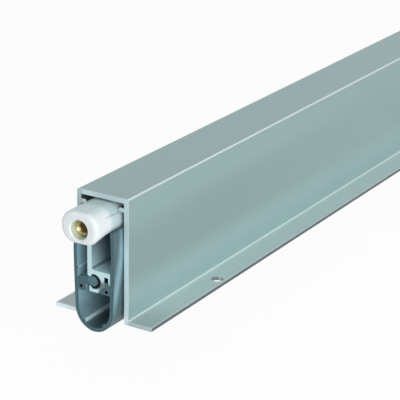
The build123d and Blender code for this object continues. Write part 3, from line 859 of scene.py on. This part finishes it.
@dataclass(frozen=True)
class Turned(Finish):
    """Turned brass: tool rings round the axis, tarnish, and brown painted shade in the socket and on
    one side.
    """

    colour: Colour = (0.47, 0.41, 0.22)
    tarnish_and_shade_colour: Colour = (0.085, 0.066, 0.036)
    socket_shade_colour: Colour = (0.42, 0.32, 0.13)
    axis_height: float = 25.8 * MM
    ring_pitch: float = 0.16 * MM
    ring_depth: float = 0.006 * MM
    tarnish: Grain = Grain((900.0, 900.0, 900.0), 4.0, 0.65)
    tarnished: Span = (0.42, 0.75)
    half_shade_side: Span = (0.5, -0.5)
    half_shade_level: float = 0.75
    half_shade_tone: float = 0.3
    socket: Span = (1.95, 1.75)
    metal_loss: float = 0.7
    roughness: float = 0.2
    tarnish_rough: float = 0.18
    half_shade_rough: float = 0.2

    def surface(self, s: Shader) -> Mapping[str, Any]:
        """Turned faces and the socket.

        Args:
            s: shader that takes the nodes.

        Returns:
            Constants and links of the surface node, by name.
        """
        radius = s.from_line(0.0, self.axis_height)
        turns = (radius + s.axis("X")) * (2 * math.pi / self.ring_pitch)
        rings = s.math(Maths.SINE, turns) * 0.5 + 0.5
        tarnish = s.noise(self.tarnish)
        # Painted shade on the -Y half, broken up by the tarnish pattern.
        half_shade = s.axis("Y").fade(self.half_shade_side) * (self.half_shade_level + tarnish * self.half_shade_tone)
        # Painted shade in the socket.
        socket = radius.fade(self.socket)
        dark = tarnish.ramp(self.tarnished).either(half_shade)
        colour = s.mix(socket, s.mix(dark, self.colour, self.tarnish_and_shade_colour), self.socket_shade_colour)
        return {
            "Base Color": colour,
            "Metallic": 1 - half_shade.either(socket) * self.metal_loss,
            "Roughness": self.roughness + tarnish * self.tarnish_rough + half_shade * self.half_shade_rough,
            "Normal": s.relief(rings, self.ring_depth),
        }


@dataclass(frozen=True)
class Steel(Finish):
    """Plated steel or a bright rivet: rolling grain, spangle and small dark specks."""

    colour: Colour
    speck_colour: Colour
    roughness: float
    stretch: tuple[float, float, float] = (500.0, 500.0, 6000.0)
    grain_detail: float = 4.0
    grain_rough: float = 0.6
    grain_level: float = 0.84
    grain_tone: float = 0.3
    spangle: Grain = Grain((1100.0, 1100.0, 1100.0), 1.0)
    spangle_rough: float = 0.14
    spangle_share: float = 0.5
    specks: Grain = Grain((3600.0, 3600.0, 3600.0), 3.0, 0.7)
    specked: Span = (0.64, 0.74)
    speck_share: float = 0.6
    speck_rough: float = 0.15
    relief_depth: float = 0.004 * MM

    def surface(self, s: Shader) -> Mapping[str, Any]:
        """Steel faces.

        Args:
            s: shader that takes the nodes.

        Returns:
            Constants and links of the surface node, by name.
        """
        grain = s.noise(Grain(self.stretch, self.grain_detail, self.grain_rough))
        spangle, specks = s.noise(self.spangle), s.noise(self.specks).ramp(self.specked)
        clean = s.shade(self.colour, self.grain_level + grain * self.grain_tone)
        return {
            "Base Color": s.mix(specks * self.speck_share, clean, self.speck_colour),
            "Metallic": 1.0,
            "Roughness": self.roughness + spangle * self.spangle_rough + specks * self.speck_rough,
            "Normal": s.relief(grain + spangle * self.spangle_share, self.relief_depth),
        }


ANODISED = HousingFinish("anodised_housing", (0.278, 0.404, 0.408), (0.53, 0.66, 0.69), 0.36)
MILL = CarrierFinish("mill_carrier", (0.52, 0.72, 0.77), (0.52, 0.72, 0.76), 0.42, metallic=0.25)
RUBBER = Rubber("seal_rubber")
BUTTON = ButtonPlastic("button_plastic", (0.745, 0.785, 0.81), (0.70, 0.75, 0.78), 0.34, 0.12)
NYLON = Moulded("nylon_blocks", (0.045, 0.048, 0.052), (0.03, 0.032, 0.035), 0.46)
BRASS = Turned("turned_brass")
STRIP = Steel("plated_strip", (0.50, 0.51, 0.53), (0.16, 0.15, 0.14), 0.3)
PIN = Steel("bright_pins", (0.60, 0.61, 0.62), (0.22, 0.21, 0.2), 0.2, (3000.0, 800.0, 3000.0))
WIRE = Steel("spring_wire", (0.42, 0.43, 0.45), (0.12, 0.11, 0.1), 0.24, (2500.0, 2500.0, 2500.0))
RIVET = Steel("soft_rivets", (0.55, 0.6, 0.61), (0.25, 0.25, 0.25), 0.38, (2000.0, 2000.0, 2000.0))


def dress(finish: Finish, nodes: Iterable[str]) -> None:
    """Give CAD nodes a finish.

    Args:
        finish: the finish that they share.
        nodes: names of the nodes.
    """
    material = finish.make()
    for name in nodes:
        mesh = frame["nodes"][name].data
        mesh.materials.clear()
        mesh.materials.append(material)
        log.info("node %s takes %s", name, finish.name)


def mesh_piece(
    name: str, points: Sequence[Vector], faces: Sequence[Sequence[int]], finish: Finish
) -> bpy.types.Object:
    """Make a smooth mesh object.

    Args:
        name: name of the piece.
        points: corners in metres, in the row frame.
        faces: indices of each face's corners.
        finish: its finish.

    Returns:
        The new object, linked into the scene.
    """
    mesh = bpy.data.meshes.new(name)
    mesh.from_pydata([tuple(p) for p in points], [], [tuple(f) for f in faces])
    mesh.validate()
    shape = bmesh.new()
    shape.from_mesh(mesh)
    bmesh.ops.recalc_face_normals(shape, faces=shape.faces)
    shape.to_mesh(mesh)
    shape.free()
    mesh.shade_smooth()
    mesh.materials.append(finish.make())
    piece = bpy.data.objects.new(name, mesh)
    bpy.context.scene.collection.objects.link(piece)
    log.info("piece %s has %d faces", name, len(mesh.polygons))
    return piece


@dataclass
class Housing:
    """Housing section with the blocks, pins and rivets that sit in it."""

    section: str = "housing"
    blocks: tuple[str, ...] = ("front_guide", "anchor_front", "anchor_rear", "rod_head")
    rivets: tuple[str, ...] = ("housing_rivets",)
    pins: tuple[str, ...] = ("anchor_pins", "rod_pins", "head_rivet")

    def build(self) -> None:
        """Dress the section, its blocks, pins and rivets."""
        dress(ANODISED, [self.section])
        dress(NYLON, self.blocks)
        dress(RIVET, self.rivets)
        dress(PIN, self.pins)


@dataclass
class DropLinkage:
    """Push rod, levers, links and the return spring round the rod."""

    wire_radius: float = 0.25 * MM
    end_turns: float = 1.4
    free_turns: float = 9.0
    opening_turns: float = 1.0
    closed_pitch: float = 2.04  # in wire radii
    steps_per_turn: int = 28
    sides: int = 10
    parts: tuple[str, ...] = (
        "push_rod",
        "lever_front",
        "lever_rear",
        "link_front",
        "link_rear",
        "shoe_front",
        "shoe_rear",
    )

    def build(self) -> None:
        """Dress the steel parts and wind the spring."""
        dress(STRIP, self.parts)
        self.wind_spring()

    def opening(self, turn: float, total: float) -> float:
        """How open the coil is at a point.

        Args:
            turn: turns from the start of the wire.
            total: turns of the whole coil.

        Returns:
            0 in the closed end turns, 1 in the free turns.
        """
        from_end = min(turn, total - turn)
        share = min(max((from_end - self.end_turns) / self.opening_turns + 0.5, 0.0), 1.0)
        return share * share * (3 - 2 * share)

    def centre_line(self, low: Vector, high: Vector) -> list[Vector]:
        """Points along the wire, from the rod head to the front guide.

        Args:
            low: lowest corner of the spring's envelope.
            high: highest corner of it.

        Returns:
            The points of the wire's centre line.
        """
        radius = (high.y - low.y) / 2 - self.wire_radius
        middle = (low + high) / 2
        total = self.free_turns + 2 * self.end_turns
        count = int(total * self.steps_per_turn)
        step = total / count
        shares = [self.opening(i * step, total) for i in range(count + 1)]
        closed = self.closed_pitch * self.wire_radius
        room = high.x - low.x - 2 * self.wire_radius
        room -= closed * sum(1 - share for share in shares) * step
        pitch = room / (sum(shares) * step)
        points = []
        x = low.x + self.wire_radius
        for index, share in enumerate(shares):
            angle = 2 * math.pi * index * step
            y = middle.y + radius * math.cos(angle)
            z = middle.z + radius * math.sin(angle)
            points.append(Vector((x, y, z)))
            x += (closed * (1 - share) + pitch * share) * step
        return points

    def wire_rings(self, line: Sequence[Vector], middle: Vector) -> list[Vector]:
        """Points round the wire, one ring for each point of its centre line.

        Args:
            line: the centre line.
            middle: a point on the coil's axis.

        Returns:
            The points, ring by ring.
        """
        points = []
        for index, centre in enumerate(line):
            ahead = line[min(index + 1, len(line) - 1)]
            behind = line[max(index - 1, 0)]
            along = (ahead - behind).normalized()
            out = Vector((0.0, centre.y - middle.y, centre.z - middle.z))
            out = (out - along * out.dot(along)).normalized()
            side = along.cross(out)
            for k in range(self.sides):
                angle = 2 * math.pi * k / self.sides
                ring = out * math.cos(angle) + side * math.sin(angle)
                points.append(centre + ring * self.wire_radius)
        return points

    def wire_faces(self, rings: int) -> list[list[int]]:
        """Faces between the wire's rings, and its two end caps.

        Args:
            rings: number of rings.

        Returns:
            Corner indices of each face.
        """
        around = range(self.sides)
        faces = []
        for base in range(0, (rings - 1) * self.sides, self.sides):
            ahead = base + self.sides
            for k in around:
                after = (k + 1) % self.sides
                faces.append([base + k, base + after, ahead + after, ahead + k])
        last = (rings - 1) * self.sides
        return faces + [list(around), [last + k for k in around]]

    def wind_spring(self) -> None:
        """Sweep the wire along the coil."""
        low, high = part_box("return_spring")
        line = self.centre_line(low, high)
        points = self.wire_rings(line, (low + high) / 2)
        coil = mesh_piece("return_coil", points, self.wire_faces(len(line)), WIRE)
        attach(coil, Body.HOUSING.value)
        stroke = next(j["range_m"][1] for j in frame["joints"] if j["name"] == "rod_slide")
        length = high.x - low.x
        (length - stroke) / length
        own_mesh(coil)
        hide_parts("return_spring")


@dataclass
class SealCarrier:
    """Aluminium carrier and the rubber that it grips."""

    carrier: str = "carrier"
    seal: str = "seal"

    def build(self) -> None:
        """Dress both extrusions."""
        dress(MILL, [self.carrier])
        dress(RUBBER, [self.seal])


@dataclass
class Button:
    """Plunger and the brass adjuster in its bore."""

    plunger: str = "plunger"
    adjuster: str = "adjuster"

    def build(self) -> None:
        """Dress both."""
        dress(BUTTON, [self.plunger])
        dress(BRASS, [self.adjuster])


@dataclass
class Lamp:
    """One soft square lamp."""

    name: str
    place: Vector
    size: float
    power: float
    colour: Colour

    def build(self, target: Vector) -> None:
        """Add the lamp.

        Args:
            target: point that it faces.
        """
        data = bpy.data.lights.new(self.name, "AREA")
        data.shape = "SQUARE"
        data.size = self.size
        data.energy = self.power
        data.color = self.colour
        lamp = bpy.data.objects.new(self.name, data)
        lamp.location = self.place
        lamp.rotation_euler = (target - self.place).to_track_quat("-Z", "Y").to_euler()
        bpy.context.scene.collection.objects.link(lamp)


@dataclass
class Studio:
    """Camera, pale floor, world and lamps."""

    azimuth: float = -58.70
    elevation: float = 20.60
    roll: float = 0.99
    focal_pixels: float = 1650.5
    frame_pixels: float = 400.0
    sensor_width: float = 36.0
    clip: Span = (0.01, 20.0)
    place: Vector = field(default_factory=lambda: Vector((-722.8, -213.8, 171.0)) * MM)
    floor_height: float = -14.3 * MM
    floor_half: float = 3.0
    floor_paint: Colour = (0.86, 0.87, 0.87)
    floor_clouds: Grain = Grain((9.0, 9.0, 9.0), 2.0)
    floor_level: float = 0.97
    floor_tone: float = 0.06
    floor_rough: float = 0.6
    camera_white: float = 0.94
    glossy_white: float = 0.97
    world_level: float = 0.5
    target: Vector = field(default_factory=lambda: Vector((-400.0, 0.0, 15.0)) * MM)
    lamps: tuple[Lamp, ...] = (
        Lamp("front_lamp", Vector((-1.08, -0.85, 0.26)), 0.5, 5.4, (0.97, 1.0, 1.0)),
        Lamp("side_lamp", Vector((-0.75, -1.25, 0.22)), 0.6, 5.0, (0.98, 1.0, 1.0)),
        Lamp("end_lamp", Vector((-1.55, -0.25, 0.2)), 0.6, 2.2, WHITE),
        Lamp("top_lamp", Vector((-0.3, 0.4, 1.4)), 1.0, 0.8, (1.0, 0.99, 0.96)),
    )

    def build(self) -> None:
        """Set up everything that isn't part of the object."""
        self.add_camera()
        self.add_floor()
        self.add_world()
        for lamp in self.lamps:
            lamp.build(self.target)
        bpy.context.scene.view_settings.view_transform = "Standard"

    def add_camera(self) -> None:
        """Camera at the photograph's place, angle and field of view."""
        az, el, roll = (math.radians(a) for a in (self.azimuth, self.elevation, self.roll))
        back = Vector((math.sin(az) * math.cos(el), -math.cos(az) * math.cos(el), math.sin(el)))
        right = (-back).cross(Vector((0, 0, 1))).normalized()
        up = right.cross(-back)
        turned_right = right * math.cos(roll) + up * math.sin(roll)
        turned_up = up * math.cos(roll) - right * math.sin(roll)
        data = bpy.data.cameras.new("photo_camera")
        data.sensor_fit = "HORIZONTAL"
        data.sensor_width = self.sensor_width
        data.lens = self.sensor_width * self.focal_pixels / self.frame_pixels
        data.clip_start, data.clip_end = self.clip
        camera = bpy.data.objects.new("photo_camera", data)
        columns = Matrix((turned_right, turned_up, back)).transposed()
        camera.matrix_world = Matrix.Translation(self.place) @ columns.to_4x4()
        bpy.context.scene.collection.objects.link(camera)
        bpy.context.scene.camera = camera

    def floor_material(self) -> bpy.types.Material:
        """Matt pale paint that cameras and reflections see as nearly white.

        Returns:
            The material.
        """
        material = bpy.data.materials.new("pale_floor")
        s = Shader(material)
        tone = self.floor_level + s.noise(self.floor_clouds) * self.floor_tone
        paint = {"Color": s.shade(self.floor_paint, tone), "Roughness": self.floor_rough}
        matt = s.node("BsdfDiffuse", {}, paint).outputs[0]
        white = s.node("Emission", {}, {"Color": WHITE, "Strength": 1.0}).outputs[0]
        seen = s.ray(Ray.CAMERA) * self.camera_white + s.ray(Ray.GLOSSY) * self.glossy_white
        seen = seen + s.ray(Ray.TRANSMISSION)
        both = s.node("MixShader", {}, {0: seen, 1: matt, 2: white}).outputs[0]
        s.node("OutputMaterial", {}, {"Surface": both})
        return material

    def add_floor(self) -> None:
        """Pale floor that keeps the object's shadow and shows as white."""
        half = self.floor_half
        plan = ((-half, -half), (half, -half), (half, half), (-half, half))
        mesh = bpy.data.meshes.new("floor")
        mesh.from_pydata([(x, y, self.floor_height) for x, y in plan], [], [(0, 1, 2, 3)])
        mesh.materials.append(self.floor_material())
        floor = bpy.data.objects.new("floor", mesh)
        bpy.context.scene.collection.objects.link(floor)

    def add_world(self) -> None:
        """Even soft surroundings, white where the camera or a reflection sees them."""
        world = bpy.data.worlds.new("soft_room")
        s = Shader(world)
        seen = s.ray(Ray.CAMERA).either(s.ray(Ray.TRANSMISSION)).either(s.ray(Ray.GLOSSY))
        sockets = {"Value": seen, "To Min": self.world_level, "To Max": 1.0}
        level = s.term("MapRange", {}, sockets)
        room = s.node("Background", {}, {"Color": WHITE, "Strength": level}).outputs[0]
        s.node("OutputWorld", {}, {"Surface": room})
        bpy.context.scene.world = world


def main() -> None:
    """Build the scene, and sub-assembly by sub-assembly."""
    logging.basicConfig(level=logging.INFO, format="%(name)s: %(message)s")
    for part in (Studio(), Housing(), DropLinkage(), SealCarrier(), Button()):
        part.build()
        log.info("%s is built", type(part).__name__)


if __name__ == "__main__":
    main()
